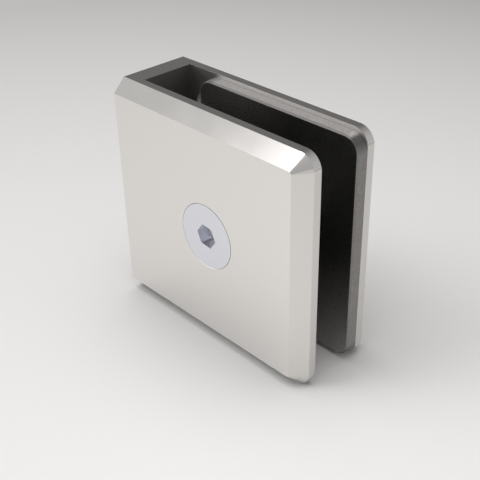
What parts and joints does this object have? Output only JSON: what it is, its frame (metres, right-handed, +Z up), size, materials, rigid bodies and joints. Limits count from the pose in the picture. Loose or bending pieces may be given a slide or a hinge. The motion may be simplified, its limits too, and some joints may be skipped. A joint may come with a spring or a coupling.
{
  "type": "glass panel clamp",
  "caption": "U-shaped metal wall clamp for a glass panel edge, with bevelled cheeks, a rubber pad in the slot and a countersunk socket screw through both cheeks.",
  "frame": {"origin": "centre of the flat face that lies on the wall, at half the body's height and in the middle of its thickness", "axes": "+X from the wall towards the free end of the two cheeks; +Y from the clamp screw's head to its tip; +Z up along the wall"},
  "size_m": [0.0463, 0.019, 0.045],
  "materials": {
    "satin_metal": "satin, fine even grain",
    "pad_rubber": "smooth black rubber with a slight sheen",
    "screw_metal": "turned head, fine satin",
    "sleeve_nylon": "natural nylon, smooth"
  },
  "bodies": {
    "clamp": {"clamp_body": "satin_metal", "rubber_pad": "pad_rubber", "screw_sleeve": "sleeve_nylon"},
    "screw": {"clamp_screw": "screw_metal"}
  },
  "joints": [
    {"name": "screw_out", "type": "slide", "parent": "clamp", "child": "screw", "axis": [0, -1, 0], "range_m": [0, 0.014]}
  ]
}
